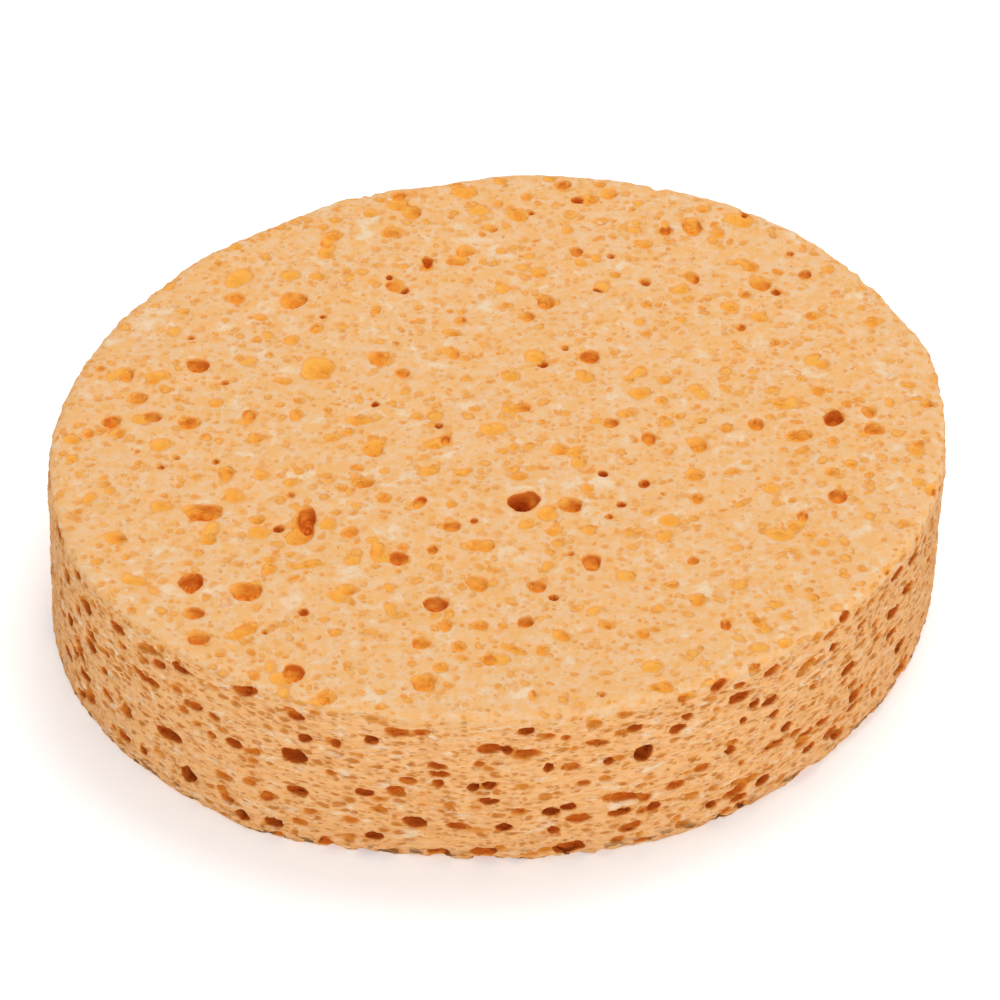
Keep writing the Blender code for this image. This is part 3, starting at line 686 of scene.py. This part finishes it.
def calculate(tree, operation, *values):
    """A Math node's result for one to three numbers or sockets."""
    return make_node(tree, "ShaderNodeMath", dict(enumerate(values)), operation=operation).outputs[0]


def times(tree, first, second):
    """Two numbers or sockets multiplied."""
    return calculate(tree, "MULTIPLY", first, second)


def calculate_vector(tree, operation, *values):
    """A Vector Math node's result for one to three vectors or sockets."""
    made = make_node(tree, "ShaderNodeVectorMath", dict(enumerate(values)), operation=operation)
    return made.outputs[0]


def scaled(tree, vector, factor):
    """A vector times a number or a socket."""
    inputs = {0: vector, 3: factor}
    return make_node(tree, "ShaderNodeVectorMath", inputs, operation="SCALE").outputs[0]


def drawn(tree, draw, least=0.0, most=1.0):
    """A random number between two limits for each point, in the draw of that name."""
    inputs = {2: least, 3: most, 8: DRAW_SEEDS[draw]}
    return make_node(tree, "FunctionNodeRandomValue", inputs, data_type="FLOAT").outputs[1]


def parts_of(tree, vector):
    """A vector's X, Y and Z."""
    return make_node(tree, "ShaderNodeSeparateXYZ", {0: vector}).outputs


def new_mesh_object(name, bm):
    """An object in the scene with bm as its mesh; bm is used up."""
    mesh = bpy.data.meshes.new(name)
    bm.to_mesh(mesh)
    bm.free()
    obj = bpy.data.objects.new(name, mesh)
    bpy.context.scene.collection.objects.link(obj)
    return obj


def made_plain(obj, name):
    """A new object with obj's evaluated mesh; obj and its modifiers are removed."""
    evaluated = obj.evaluated_get(bpy.context.evaluated_depsgraph_get())
    mesh = bpy.data.meshes.new_from_object(evaluated)
    mesh.name = name
    bpy.data.objects.remove(obj, do_unlink=True)
    plain = bpy.data.objects.new(name, mesh)
    bpy.context.scene.collection.objects.link(plain)
    return plain


def uncut_disc():
    """The whole disc in one even grid, with gentle waves in its skin."""
    bm = bmesh.new()
    bmesh.ops.create_cone(
        bm, cap_ends=True, segments=OUTLINE_POINTS, radius1=1.0, radius2=1.0, depth=THICKNESS,
        matrix=Matrix.Translation((0.0, 0.0, THICKNESS / 2)),
    )
    for vert in bm.verts:
        direction = math.atan2(vert.co.y, vert.co.x)
        vert.co = edge_spot(direction, vert.co.z)
    disc = new_mesh_object("uncut_disc", bm)
    rounding = disc.modifiers.new("rounded_rims", "BEVEL")
    rounding.width = RIM_ROUNDING
    rounding.segments = RIM_SEGMENTS
    rounding.angle_limit = RIM_ANGLE
    grid = disc.modifiers.new("even_grid", "REMESH")
    grid.mode = "VOXEL"
    grid.voxel_size = SKIN_GRID
    disc = made_plain(disc, "uncut_disc")
    normals = [vert.normal.copy() for vert in disc.data.vertices]
    for vert, normal in zip(disc.data.vertices, normals):
        vert.co += noise.noise(vert.co / WAVE_SIZE) * WAVE_HEIGHT * normal
    return disc


def chosen_cells():
    """Points for the listed pits, with each cell's stretch and turn."""
    cells = []
    for x, y, width, length, kind, *degrees in FACE_PITS:
        depth_share, sunk, tilt = FACE_KINDS[kind]
        tilted = Matrix.Rotation(math.radians(tilt), 4, "X")
        turn = tilted @ Matrix.Rotation(math.radians(sum(degrees)), 4, "Z")
        spot = face_spot(x * RADIUS, y * RADIUS, THICKNESS)
        cells.append((spot, turn, width, length, depth_share, sunk))
    for degrees, share, length, tall, kind in EDGE_PITS:
        direction = math.radians(degrees)
        spot = edge_spot(direction, share * THICKNESS)
        cells.append((spot, edge_turn(direction), length, tall, *EDGE_KINDS[kind]))
    places = []
    stretches = []
    turns = []
    for spot, turn, width, length, depth_share, sunk in cells:
        reach = depth_share * min(width, length) * MM / (1 + sunk)
        spread = 0.5 * MM / math.sqrt(1 - sunk * sunk)
        places.append(spot + turn @ Vector((0.0, 0.0, -sunk * reach)))
        stretches.append((width * spread, length * spread, reach))
        turns.append(turn.to_euler())
    for degrees, length, tall, reach in RIM_BITES:
        direction = math.radians(degrees)
        places.append(edge_spot(direction, 0.0))
        stretches.append((length / 2 * MM, tall / 2 * MM, reach * MM))
        turns.append(edge_turn(direction).to_euler())
    mesh = bpy.data.meshes.new("chosen_cells")
    mesh.from_pydata(places, [], [])
    for name, values in (("stretch", stretches), ("turn", turns)):
        attribute = mesh.attributes.new(name, "FLOAT_VECTOR", "POINT")
        attribute.data.foreach_set("vector", [number for value in values for number in value])
    obj = bpy.data.objects.new("chosen_cells", mesh)
    bpy.context.scene.collection.objects.link(obj)
    return obj


def named(tree, name, data_type="FLOAT"):
    """A mesh attribute, read by its name."""
    node = make_node(tree, "GeometryNodeInputNamedAttribute", {"Name": name}, data_type=data_type)
    return node.outputs["Attribute"]


def new_tree(name, geometry, inputs):
    """A Geometry Nodes tree, with a geometry input and others that have values, and its inputs."""
    tree = bpy.data.node_groups.new(name, "GeometryNodeTree")
    tree.interface.new_socket(geometry, in_out="INPUT", socket_type="NodeSocketGeometry")
    for label, value in inputs:
        kind = "NodeSocketInt" if isinstance(value, int) else "NodeSocketFloat"
        socket = tree.interface.new_socket(label, in_out="INPUT", socket_type=kind)
        socket.default_value = value
    tree.interface.new_socket("Sponge", in_out="OUTPUT", socket_type="NodeSocketGeometry")
    return tree, tree.nodes.new("NodeGroupInput").outputs


def end_tree(tree, geometry, foam):
    """Ends a tree with its instances made real and in the foam's material."""
    real = make_node(tree, "GeometryNodeRealizeInstances", {"Geometry": geometry})
    painted = make_node(tree, "GeometryNodeSetMaterial", {
        "Geometry": real.outputs[0], "Material": foam,
    })
    make_node(tree, "NodeGroupOutput", {"Sponge": painted.outputs[0]})


def cell_shapes(tree, lumpiness):
    """Lumpy balls, coarse ones and then fine ones, one of which stands for each cell."""
    join = tree.nodes.new("GeometryNodeGeometryToInstance")
    shapes = [(COARSE_BALL, variant) for variant in range(CELL_VARIANTS)]
    shapes += [(FINE_BALL, variant) for variant in range(CELL_VARIANTS)]
    for subdivisions, variant in reversed(shapes):
        ball = make_node(tree, "GeometryNodeMeshIcoSphere", {"Subdivisions": subdivisions})
        place = tree.nodes.new("GeometryNodeInputPosition").outputs[0]
        lumps = make_node(tree, "ShaderNodeTexNoise", {
            "Vector": place, "W": variant * VARIANT_STEP, "Scale": LUMP_SCALE, "Detail": 0.0,
        }, noise_dimensions="4D").outputs["Fac"]
        swelling = times(tree, calculate(tree, "SUBTRACT", lumps, LUMP_MIDDLE), lumpiness)
        lumpy = make_node(tree, "GeometryNodeSetPosition", {
            "Geometry": ball.outputs["Mesh"], "Offset": scaled(tree, place, swelling),
        })
        tree.links.new(lumpy.outputs["Geometry"], join.inputs[0])
    return join.outputs[0]


def cells_on(tree, points, rotation, stretch, balls, fine_from):
    """Balls on points, fine ones where the cell is wider than fine_from."""
    parts = parts_of(tree, stretch)
    widest = calculate(tree, "MAXIMUM", parts["X"], parts["Y"])
    is_fine = calculate(tree, "GREATER_THAN", widest, times(tree, fine_from, 0.5))
    variant = calculate(tree, "FLOOR", drawn(tree, "variant", 0.0, CELL_VARIANTS - JUST_UNDER))
    picked = calculate(tree, "MULTIPLY_ADD", is_fine, float(CELL_VARIANTS), variant)
    return make_node(tree, "GeometryNodeInstanceOnPoints", {
        "Points": points, "Instance": balls, "Pick Instance": True, "Instance Index": picked,
        "Rotation": rotation, "Scale": stretch,
    }).outputs["Instances"]


def strewn_cells(tree, skin, group, balls, side):
    """Cells strewn at random over the flat faces or over the edge, as side says."""
    habit = STREWN[side]
    upright = side == "Edge"
    skin_normal = tree.nodes.new("GeometryNodeInputNormal").outputs["Normal"]
    share = calculate(tree, "ABSOLUTE", parts_of(tree, skin_normal)["Z"])
    where = calculate(tree, "LESS_THAN" if upright else "GREATER_THAN", share, FLAT_FROM)
    seed = calculate(tree, "ADD", group["Seed"], habit["seed"])
    strew = make_node(tree, "GeometryNodeDistributePointsOnFaces", {
        "Mesh": skin, "Selection": where,
        "Distance Min": group[side + " Spacing"], "Density Max": group[side + " Density"],
        "Seed": seed,
    }, distribute_method="POISSON")
    normal = strew.outputs["Normal"]
    chance = calculate(tree, "POWER", drawn(tree, "width"), group["Bias"])
    narrowest = group[side + " Narrowest"]
    span = calculate(tree, "SUBTRACT", group[side + " Widest"], narrowest)
    deep = calculate(tree, "LESS_THAN", drawn(tree, "deep"), group["Deep Share"])
    width = calculate(tree, "MULTIPLY_ADD", chance, span, narrowest)
    widening = calculate(tree, "MULTIPLY_ADD", deep, DEEP_WIDER_BY, 1.0)
    width = times(tree, width, widening)
    length = times(tree, width, drawn(tree, "flatness", *habit["flatness"]))
    sunk = drawn(tree, "sunk", *habit["sunk"])
    depth_share = drawn(tree, "depth", *habit["depth"])
    depth_share = calculate(tree, "MULTIPLY_ADD", deep, DEEPER_BY, depth_share)
    depth = times(tree, length, depth_share)
    reach = calculate(tree, "DIVIDE", depth, calculate(tree, "ADD", sunk, 1.0))
    squared = times(tree, sunk, sunk)
    root = calculate(tree, "SQRT", calculate(tree, "SUBTRACT", 1.0, squared))
    spread = calculate(tree, "DIVIDE", 0.5, root)
    stretch = make_node(tree, "ShaderNodeCombineXYZ", {
        "X": times(tree, width, spread),
        "Y": times(tree, length, spread),
        "Z": reach,
    }).outputs[0]
    facing = make_node(tree, "FunctionNodeAlignRotationToVector", {"Vector": normal}, axis="Z")
    if upright:
        facing = make_node(tree, "FunctionNodeAlignRotationToVector", {
            "Rotation": facing.outputs[0], "Vector": (0.0, 0.0, 1.0),
        }, axis="Y", pivot_axis="Z")
    most = math.radians(habit["turn"])
    spin = make_node(tree, "FunctionNodeAxisAngleToRotation", {
        "Axis": (0.0, 0.0, 1.0), "Angle": drawn(tree, "turn", -most, most),
    })
    rotation = make_node(tree, "FunctionNodeRotateRotation", {
        "Rotation": facing.outputs[0], "Rotate By": spin.outputs[0],
    }, rotation_space="LOCAL")
    sink = times(tree, times(tree, sunk, reach), -1.0)
    sunk_points = make_node(tree, "GeometryNodeSetPosition", {
        "Geometry": strew.outputs["Points"], "Offset": scaled(tree, normal, sink),
    }).outputs["Geometry"]
    return cells_on(tree, sunk_points, rotation.outputs[0], stretch, balls, group["Fine From"])


def opened_cells_tree(chosen, foam):
    """The tree that opens the foam's cells in a disc."""
    tree, group = new_tree("opened_cells", "Disc", CELL_INPUTS)
    skin = group["Disc"]
    balls = cell_shapes(tree, group["Lumpiness"])
    picked = make_node(tree, "GeometryNodeObjectInfo", {"Object": chosen}).outputs["Geometry"]
    turn = make_node(tree, "FunctionNodeEulerToRotation", {0: named(tree, "turn", "FLOAT_VECTOR")})
    stretch = named(tree, "stretch", "FLOAT_VECTOR")
    cut = make_node(tree, "GeometryNodeMeshBoolean", {
        "Mesh 1": skin,
        "Mesh 2": cells_on(tree, picked, turn.outputs[0], stretch, balls, group["Fine From"]),
    }, operation="DIFFERENCE", solver="MANIFOLD")
    for side in STREWN:
        tree.links.new(strewn_cells(tree, skin, group, balls, side), cut.inputs["Mesh 2"])
    end_tree(tree, cut.outputs["Mesh"], foam)
    return tree


def count_triangles(mesh):
    """How many triangles the mesh's faces come to."""
    return sum(len(face.vertices) - 2 for face in mesh.polygons)


def keep_largest_part(mesh):
    """Removes the crumbs that the cells cut loose."""
    bm = bmesh.new()
    bm.from_mesh(mesh)
    left = set(bm.verts)
    parts = []
    while left:
        part = [left.pop()]
        for vert in part:
            for edge in vert.link_edges:
                other = edge.other_vert(vert)
                if other in left:
                    left.remove(other)
                    part.append(other)
        parts.append(part)
    parts.sort(key=len)
    crumbs = [vert for part in parts[:-1] for vert in part]
    bmesh.ops.delete(bm, geom=crumbs, context="VERTS")
    bm.to_mesh(mesh)
    bm.free()


def finishing_tree(skin, foam):
    """The tree that marks each point's depth, steepness and side, and adds the fine relief."""
    tree, group = new_tree("finished_foam", "Foam", RELIEF_INPUTS)
    normal = tree.nodes.new("GeometryNodeInputNormal").outputs["Normal"]
    uncut = make_node(tree, "GeometryNodeObjectInfo", {"Object": skin}).outputs["Geometry"]
    nearest = make_node(tree, "GeometryNodeProximity", {0: uncut}, target_element="FACES")
    outward = make_node(tree, "GeometryNodeSampleNearestSurface", {
        "Mesh": uncut, "Value": tree.nodes.new("GeometryNodeInputNormal").outputs["Normal"],
    }, data_type="FLOAT_VECTOR").outputs["Value"]
    flat_share = calculate(tree, "ABSOLUTE", parts_of(tree, outward)["Z"])
    facing = make_node(tree, "ShaderNodeVectorMath", {0: normal, 1: outward}, operation="DOT_PRODUCT")
    steepness = calculate(tree, "SUBTRACT", 1.0, facing.outputs["Value"])
    foam_mesh = group["Foam"]
    marks = {"depth": nearest.outputs["Distance"], "flat_share": flat_share, "steepness": steepness}
    for name, value in marks.items():
        foam_mesh = make_node(tree, "GeometryNodeStoreNamedAttribute", {
            "Geometry": foam_mesh, "Name": name, "Value": value,
        }, data_type="FLOAT", domain="POINT").outputs["Geometry"]
    parts = parts_of(tree, tree.nodes.new("GeometryNodeInputPosition").outputs[0])
    layered = times(tree, parts["Z"], group["Layering"])
    squeezed = make_node(tree, "ShaderNodeCombineXYZ", {
        "X": parts["X"], "Y": parts["Y"], "Z": layered,
    }).outputs[0]
    lift = 0.0
    for name in ("Coarse", "Fine"):
        per_size = calculate(tree, "DIVIDE", 1.0, group[name + " Size"])
        waves = make_node(tree, "ShaderNodeTexNoise", {
            "Vector": squeezed, "Scale": per_size, "Detail": RELIEF_DETAIL,
        }).outputs["Fac"]
        centred = calculate(tree, "SUBTRACT", waves, 0.5)
        lift = calculate(tree, "MULTIPLY_ADD", centred, group[name + " Height"], lift)
    on_edge = calculate(tree, "SUBTRACT", 1.0, named(tree, "flat_share"))
    strength = calculate(tree, "MULTIPLY_ADD", on_edge, group["Edge Extra"], 1.0)
    lift = times(tree, lift, strength)
    rough = make_node(tree, "GeometryNodeSetPosition", {
        "Geometry": foam_mesh, "Offset": scaled(tree, normal, lift),
    }).outputs["Geometry"]
    parts = parts_of(tree, tree.nodes.new("GeometryNodeInputPosition").outputs[0])
    standing = make_node(tree, "ShaderNodeCombineXYZ", {
        "X": parts["X"], "Y": parts["Y"], "Z": calculate(tree, "MAXIMUM", parts["Z"], 0.0),
    }).outputs[0]
    grounded = make_node(tree, "GeometryNodeSetPosition", {"Geometry": rough, "Position": standing})
    end_tree(tree, grounded.outputs["Geometry"], foam)
    return tree


def opened_sponge():
    """The disc with its cells opened, softened and thinned to the triangle limit."""
    skin = uncut_disc()
    chosen = chosen_cells()
    foam = foam_material()
    sponge = bpy.data.objects.new("sponge_foam", skin.data)
    bpy.context.scene.collection.objects.link(sponge)
    opening = sponge.modifiers.new("opened_cells", "NODES")
    opening.node_group = opened_cells_tree(chosen, foam)
    grid = sponge.modifiers.new("even_grid", "REMESH")
    grid.mode = "VOXEL"
    grid.voxel_size = MESH_GRID
    softening = sponge.modifiers.new("soft_rims", "SMOOTH")
    softening.iterations = SOFTENING
    sponge = made_plain(sponge, "sponge_foam")
    keep_largest_part(sponge.data)
    finish = sponge.modifiers.new("finished_foam", "NODES")
    finish.node_group = finishing_tree(skin, foam)
    thinning = sponge.modifiers.new("thinned", "DECIMATE")
    thinning.ratio = min(1.0, TRIANGLE_LIMIT / count_triangles(sponge.data))
    sponge = made_plain(sponge, "sponge_foam")
    bpy.data.objects.remove(chosen, do_unlink=True)
    bpy.data.objects.remove(skin, do_unlink=True)
    sponge.data.shade_smooth()
    return sponge


def mixed(tree, factor, first, second):
    """Two colours mixed by a factor."""
    inputs = {0: factor, 6: first, 7: second}
    return make_node(tree, "ShaderNodeMix", inputs, data_type="RGBA").outputs[2]


def laid_over(tree, under, mask, shade, layer):
    """A colour laid over another where the mask says, as far as the layer of that name covers."""
    return mixed(tree, times(tree, mask, COVER[layer]), under, shade)


def ranged(tree, value, low, high, to_low=0.0, to_high=1.0):
    """A value led smoothly from one range to another."""
    return make_node(tree, "ShaderNodeMapRange", {
        "Value": value, "From Min": low, "From Max": high, "To Min": to_low, "To Max": to_high,
    }, interpolation_type="SMOOTHSTEP").outputs["Result"]


def noise_of(tree, where, size, detail, roughness=0.5, distortion=0.0):
    """Noise with grains of a size in metres."""
    return make_node(tree, "ShaderNodeTexNoise", {
        "Vector": where, "Scale": 1.0 / size, "Detail": detail, "Roughness": roughness,
        "Distortion": distortion,
    }).outputs["Fac"]


def pattern(tree, where, name, to_none=0.0, to_all=1.0):
    """One of the foam's patterns, led to the value for none of it and the one for all of it."""
    size, detail, roughness, distortion, none, full = PATTERNS[name]
    waves = noise_of(tree, where, size, detail, roughness, distortion)
    return ranged(tree, waves, none, full, to_none, to_all)


def mark_of(tree, name):
    """A mark that Geometry Nodes left on the mesh."""
    return make_node(tree, "ShaderNodeAttribute", attribute_name=name).outputs["Fac"]


def flattened(tree, flatness):
    """Object coordinates squeezed so that a pattern lies in flat layers."""
    where = tree.nodes.new("ShaderNodeTexCoord").outputs["Object"]
    return calculate_vector(tree, "MULTIPLY", where, (1.0, 1.0, flatness))


def pore_group():
    """Fine pores of one size, each as wide as chance has it, flattened in the sheet's layers."""
    group = bpy.data.node_groups.new("fine_pores", "ShaderNodeTree")
    group.interface.new_socket("Size", in_out="INPUT", socket_type="NodeSocketFloat")
    group.interface.new_socket("Hollows", in_out="OUTPUT", socket_type="NodeSocketFloat")
    size = group.nodes.new("NodeGroupInput").outputs["Size"]
    where = flattened(group, PORE_FLATNESS)
    per_size = calculate(group, "DIVIDE", 1.0, size)
    wander = make_node(group, "ShaderNodeTexNoise", {"Vector": where, "Scale": per_size, "Detail": 0.0})
    drift = calculate_vector(group, "SUBTRACT", wander.outputs["Color"], (0.5, 0.5, 0.5))
    drift = scaled(group, drift, PORE_WANDER)
    moved = calculate_vector(group, "ADD", scaled(group, where, per_size), drift)
    cells = make_node(group, "ShaderNodeTexVoronoi", {"Vector": moved, "Scale": 1.0}, feature="F1")
    chance = parts_of(group, cells.outputs["Color"])["X"]
    radius = calculate(group, "MULTIPLY_ADD", chance, PORE_WIDENING, PORE_RADIUS)
    inside = calculate(group, "SUBTRACT", radius, cells.outputs["Distance"])
    make_node(group, "NodeGroupOutput", {"Hollows": ranged(group, inside, 0.0, PORE_SOFTNESS)})
    return group


def rim_of(tree, hollow):
    """1 halfway into a hollow's outline, and 0 both outside it and on its floor."""
    rest = calculate(tree, "SUBTRACT", 1.0, hollow)
    return times(tree, times(tree, hollow, rest), 4.0)


def foam_masks(tree):
    """The values that the foam's colour and bump are made of, by name."""
    where = flattened(tree, PORE_FLATNESS)
    height = parts_of(tree, tree.nodes.new("ShaderNodeTexCoord").outputs["Object"])["Z"]
    below_rim = calculate(tree, "SUBTRACT", THICKNESS, height)
    ragged = noise_of(tree, where, RAGGED_SIZE, RAGGED_DETAIL)
    ragged = calculate(tree, "MULTIPLY_ADD", ragged, RAGGED_HEIGHT, below_rim)
    upright = ranged(tree, mark_of(tree, "flat_share"), *EDGE_FLATNESS)
    edge = times(tree, upright, ranged(tree, ragged, *EDGE_BELOW_RIM))
    pores = pore_group()
    hollows = []
    for size in PORE_SIZES:
        group = make_node(tree, "ShaderNodeGroup", node_tree=pores)
        group.inputs["Size"].default_value = size
        hollows.append(group.outputs["Hollows"])
    coarse, middle, fine = hollows
    return {
        "where": where,
        "layers": flattened(tree, LAYER_FLATNESS),
        "height": height,
        "edge": edge,
        "gold": times(tree, coarse, pattern(tree, where, "golden_places")),
        "middle": middle,
        "fine": fine,
        "lenses": times(tree, edge, coarse),
    }


def skin_colour(tree, masks):
    """The cut skin: pale patches, golden hollows and strands, with painted shade round the hollows' rims
    and in the lens-shaped pores of the edge.
    """
    where = masks["where"]
    edge = masks["edge"]
    gold = masks["gold"]
    middle = masks["middle"]
    colour = mixed(tree, pattern(tree, where, "pale_patches"), SKIN, SKIN_PALE)
    colour = laid_over(tree, colour, gold, GOLDEN, "coarse_gold")
    colour = laid_over(tree, colour, middle, GOLDEN, "middle_gold")
    colour = laid_over(tree, colour, masks["fine"], GOLDEN, "fine_gold")
    colour = laid_over(tree, colour, pattern(tree, where, "blush"), GOLDEN, "blush")
    ripening = times(tree, middle, COVER["middle_ripeness"])
    ripening = calculate(tree, "MAXIMUM", gold, ripening)
    ripening = times(tree, ripening, pattern(tree, where, "ripeness"))
    colour = mixed(tree, ripening, colour, ORANGE)
    # Painted shade round the rims of the painted hollows.
    rim_shade = times(tree, rim_of(tree, middle), COVER["middle_rim_shade"])
    rim_shade = calculate(tree, "MAXIMUM", rim_of(tree, gold), rim_shade)
    colour = laid_over(tree, colour, rim_shade, RIM_SHADE, "rim_shade")
    browned = mixed(tree, pattern(tree, masks["layers"], "streaks"), CUT_SKIN, CUT_BROWN)
    colour = laid_over(tree, colour, edge, browned, "cut")
    # Painted shade in the lens-shaped pores of the edge, large and small.
    colour = laid_over(tree, colour, masks["lenses"], LENS_SHADE, "lenses")
    small_lenses = times(tree, edge, middle)
    colour = laid_over(tree, colour, small_lenses, LENS_SHADE, "small_lenses")
    return laid_over(tree, colour, pattern(tree, where, "strands"), STRAND, "strands")


def pit_colour_and_shade(tree, masks, millimetres):
    """A pit's colour, darkening with its depth as painted shade, with painted shade on its steep walls and
    more of it in the edge.
    """
    # The ramp darkens with depth: painted shade in the pits.
    ramp = tree.nodes.new("ShaderNodeValToRGB")
    stops = ramp.color_ramp.elements
    while len(stops) < len(PIT_COLOURS_AND_SHADE):
        stops.new(1.0)
    for stop, (place, shade) in zip(stops, PIT_COLOURS_AND_SHADE):
        stop.position = place / DEEPEST
        stop.color = shade
    uneven = pattern(tree, masks["where"], "uneven_depth", *UNEVEN_DEPTH)
    # Pits in the edge seem deeper to the ramp: more painted shade.
    shade_deepening = calculate(tree, "MULTIPLY_ADD", masks["edge"], EDGE_SHADE_DEEPENING, 1.0)
    seeming = times(tree, millimetres, shade_deepening)
    seeming = times(tree, seeming, uneven)
    tree.links.new(calculate(tree, "DIVIDE", seeming, DEEPEST), ramp.inputs["Fac"])
    # Painted shade on the steep walls of pits.
    steep = ranged(tree, mark_of(tree, "steepness"), *WALL_STEEPNESS)
    pit = laid_over(tree, ramp.outputs["Color"], steep, PIT_WALL_SHADE, "pit_wall_shade")
    # More painted shade in the pits of the edge.
    return laid_over(tree, pit, masks["edge"], EDGE_PIT_SHADE, "edge_pit_shade")


def foam_bump(tree, masks):
    """Hollows sunk into the skin, fine grain, and ridges along the layers of the edge."""
    grain = noise_of(tree, masks["where"], GRAIN_SIZE, BUMP_DETAIL, BUMP_ROUGHNESS)
    ridges = noise_of(tree, masks["layers"], RIDGE_SIZE, BUMP_DETAIL, BUMP_ROUGHNESS)
    ridges = times(tree, ridges, masks["edge"])
    coarse = calculate(tree, "MAXIMUM", masks["gold"], masks["lenses"])
    height = times(tree, coarse, COARSE_BUMP)
    height = calculate(tree, "MULTIPLY_ADD", masks["middle"], MIDDLE_BUMP, height)
    height = calculate(tree, "MULTIPLY_ADD", grain, GRAIN_BUMP, height)
    height = calculate(tree, "MULTIPLY_ADD", ridges, RIDGE_BUMP, height)
    bump = make_node(tree, "ShaderNodeBump", {
        "Strength": 1.0, "Distance": BUMP_HEIGHT, "Height": height,
    })
    return bump.outputs["Normal"]


def foam_material():
    """Matte cellulose foam: pale skin, golden hollows, and pits that redden and darken with their depth,
    the darkening painted shade.
    """
    material = bpy.data.materials.new("foam")
    material.use_nodes = True
    tree = material.node_tree
    shader = tree.nodes["Principled BSDF"]
    shader.inputs["Roughness"].default_value = ROUGHNESS
    shader.inputs["Specular IOR Level"].default_value = SHINE
    masks = foam_masks(tree)
    millimetres = calculate(tree, "DIVIDE", mark_of(tree, "depth"), MM)
    in_pit = ranged(tree, millimetres, *PIT_DEPTHS)
    pit = pit_colour_and_shade(tree, masks, millimetres)
    colour = mixed(tree, in_pit, skin_colour(tree, masks), pit)
    # Painted shade round the mouth of each pit.
    colour = laid_over(tree, colour, rim_of(tree, in_pit), RIM_SHADE, "pit_rim_shade")
    # Painted shadow in patches near the bottom of the edge.
    low = times(tree, ranged(tree, masks["height"], *LOWER_RIM_SHADOW_HEIGHTS), masks["edge"])
    lower_rim_shadowed = times(tree, low, pattern(tree, masks["where"], "lower_rim_shadows"))
    colour = laid_over(tree, colour, lower_rim_shadowed, LOWER_RIM_SHADOW, "lower_rim_shadows")
    tree.links.new(colour, shader.inputs["Base Color"])
    tree.links.new(foam_bump(tree, masks), shader.inputs["Normal"])
    return material


def seen_ray(tree):
    """1 for what the camera sees directly, mirrored or through glass."""
    path = tree.nodes.new("ShaderNodeLightPath").outputs
    seen = calculate(tree, "MAXIMUM", path["Is Camera Ray"], path["Is Glossy Ray"])
    return calculate(tree, "MAXIMUM", seen, path["Is Transmission Ray"])


def add_floor():
    """The pale floor, with a glow only for what is seen, so that it lights nothing."""
    bm = bmesh.new()
    bmesh.ops.create_grid(bm, x_segments=1, y_segments=1, size=FLOOR_REACH)
    floor = new_mesh_object("floor", bm)
    floor.location.z = -FLOOR_GAP
    material = bpy.data.materials.new("pale_floor")
    material.use_nodes = True
    tree = material.node_tree
    shader = tree.nodes["Principled BSDF"]
    shader.inputs["Base Color"].default_value = FLOOR_COLOUR
    shader.inputs["Roughness"].default_value = FLOOR_ROUGHNESS
    shader.inputs["Specular IOR Level"].default_value = 0.0
    shader.inputs["Emission Color"].default_value = WHITE
    glow = times(tree, seen_ray(tree), FLOOR_GLOW)
    tree.links.new(glow, shader.inputs["Emission Strength"])
    floor.data.materials.append(material)


def add_world():
    """Even white light, and plain white where the camera sees past the floor."""
    world = bpy.data.worlds.new("studio")
    world.use_nodes = True
    tree = world.node_tree
    background = tree.nodes["Background"]
    background.inputs["Color"].default_value = WHITE
    strength = calculate(tree, "MULTIPLY_ADD", seen_ray(tree), 1.0 - WORLD_LIGHT, WORLD_LIGHT)
    tree.links.new(strength, background.inputs["Strength"])
    bpy.context.scene.world = world


def add_lamps():
    """Soft square lamps, each turned to the sponge."""
    for name, place, size, watts in LAMPS:
        light = bpy.data.lights.new(name, "AREA")
        light.size = size
        light.energy = watts
        lamp = bpy.data.objects.new(name, light)
        lamp.location = place
        lamp.rotation_euler = (-Vector(place)).to_track_quat("-Z", "Y").to_euler()
        bpy.context.scene.collection.objects.link(lamp)


def add_camera():
    """The camera at the photograph's viewpoint."""
    aim = Vector((0.0, 0.0, THICKNESS / 2))
    back = Vector((0.0, -math.cos(CAMERA_ELEVATION), math.sin(CAMERA_ELEVATION)))
    camera = bpy.data.objects.new("camera", bpy.data.cameras.new("camera"))
    camera.location = aim + back * CAMERA_DISTANCE * RADIUS
    camera.rotation_euler = (math.pi / 2 - CAMERA_ELEVATION, 0.0, 0.0)
    camera.data.lens = CAMERA_LENS
    camera.data.shift_x = FRAME_SHIFT[0]
    camera.data.shift_y = FRAME_SHIFT[1]
    bpy.context.scene.collection.objects.link(camera)
    bpy.context.scene.camera = camera


def main():
    bpy.context.scene.view_settings.view_transform = "Standard"
    sponge = opened_sponge()
    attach(sponge, "root")
    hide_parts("sponge")
    add_floor()
    add_world()
    add_lamps()
    add_camera()


main()
